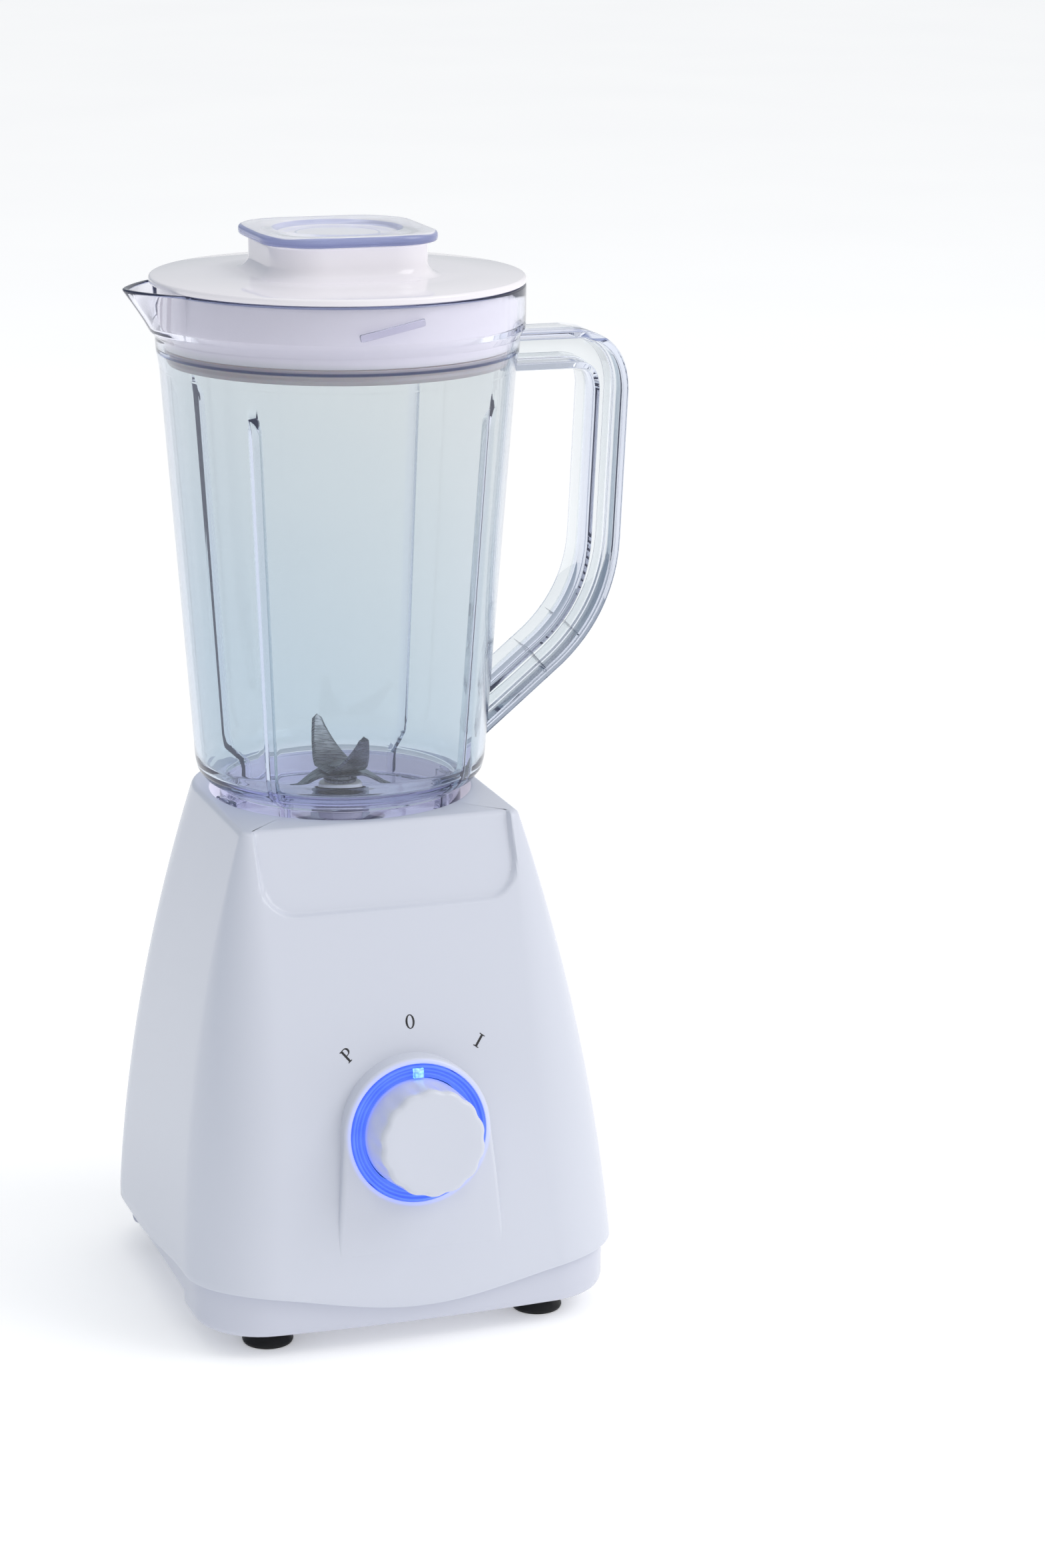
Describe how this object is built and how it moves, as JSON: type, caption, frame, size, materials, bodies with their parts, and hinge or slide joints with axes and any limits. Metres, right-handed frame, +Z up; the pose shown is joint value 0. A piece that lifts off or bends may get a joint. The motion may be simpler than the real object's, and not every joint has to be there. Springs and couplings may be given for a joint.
{
  "type": "countertop blender",
  "caption": "Countertop blender: tapered white motor base with a rotary knob in a lit ring, clear jar with handle, spout and blades, white lid and clear filler cap.",
  "frame": {"origin": "centre of the overall box, on the surface the feet stand on", "axes": "+Z up along the jar axis, -Y towards the control knob, +X towards the jar handle, -X towards the spout"},
  "size_m": [0.1818, 0.1798, 0.3752],
  "materials": {
    "white_plastic": "gloss moulded ABS",
    "clear_plastic": "clear blue-tinted SAN",
    "blue_light_plastic": "translucent, lit from behind",
    "black_rubber": "matte",
    "silicone": "translucent silicone",
    "grey_plastic": "moulded",
    "steel": "brushed stainless",
    "dark_steel": "blackened",
    "laminations": "stamped steel",
    "copper": "enamelled wire and copper bars",
    "carbon": "pressed carbon",
    "circuit_board": "solder mask"
  },
  "bodies": {
    "base": {"upper_housing": "white_plastic", "lower_shell": "white_plastic", "cord_gland": "black_rubber", "suction_foot_front_left": "black_rubber", "suction_foot_front_right": "black_rubber", "suction_foot_rear_left": "black_rubber", "suction_foot_rear_right": "black_rubber", "foot_collar_front_left": "clear_plastic", "foot_collar_front_right": "clear_plastic", "foot_collar_rear_left": "clear_plastic", "foot_collar_rear_right": "clear_plastic", "housing_screw_front_left": "steel", "housing_screw_front_right": "steel", "housing_screw_rear_left": "steel", "housing_screw_rear_right": "steel", "light_ring": "blue_light_plastic", "indicator_window": "clear_plastic", "indicator_led": "blue_light_plastic", "light_board": "circuit_board", "rotary_switch": "grey_plastic", "motor_stator": "laminations", "field_winding_left": "copper", "field_winding_right": "copper", "upper_bearing_bracket": "laminations", "lower_bearing_bracket": "laminations", "upper_bearing": "steel", "lower_bearing": "steel", "brush_holder_front": "grey_plastic", "brush_holder_rear": "grey_plastic", "carbon_brush_front": "carbon", "carbon_brush_rear": "carbon", "motor_mount_front_left": "black_rubber", "motor_mount_front_right": "black_rubber", "motor_mount_rear_left": "black_rubber", "motor_mount_rear_right": "black_rubber"},
    "knob": {"control_knob": "white_plastic", "switch_shaft": "steel"},
    "motor": {"motor_rotor": "laminations", "commutator": "copper", "motor_shaft": "steel", "cooling_fan": "grey_plastic", "drive_coupling": "black_rubber"},
    "jar": {"jar_body": "clear_plastic", "jar_handle": "clear_plastic", "blade_bearing_boss": "white_plastic", "blade_gasket": "black_rubber", "blade_retaining_nut": "grey_plastic"},
    "blades": {"blade_shaft": "steel", "thrust_washer": "dark_steel", "lower_blade": "steel", "upper_blade": "steel", "blade_nut": "steel", "driven_coupling": "black_rubber"},
    "lid": {"lid": "white_plastic", "lid_seal": "silicone"},
    "cap": {"filler_cap": "clear_plastic"}
  },
  "joints": [
    {"name": "knob_turn", "type": "hinge", "parent": "base", "child": "knob", "pos_m": [-0.01342, -0.07048, 0.077], "axis": [0, -0.9928, 0.1197], "range_deg": [-38, 40]},
    {"name": "motor_spin", "type": "hinge", "parent": "base", "child": "motor", "pos_m": [-0.01342, 0.02312, 0.1], "axis": [0, 0, 1], "continuous": true},
    {"name": "jar_lift", "type": "slide", "parent": "base", "child": "jar", "axis": [0, 0, 1], "range_m": [0, 0.12]},
    {"name": "blade_spin", "type": "hinge", "parent": "jar", "child": "blades", "pos_m": [-0.01342, 0.02312, 0.18], "axis": [0, 0, 1], "continuous": true},
    {"name": "lid_lift", "type": "slide", "parent": "jar", "child": "lid", "axis": [0, 0, 1], "range_m": [0, 0.06]},
    {"name": "cap_lift", "type": "slide", "parent": "lid", "child": "cap", "axis": [0, 0, 1], "range_m": [0, 0.04]}
  ],
  "couplings": [
    {"joint": "blade_spin", "follows": "motor_spin", "ratio": 1}
  ]
}
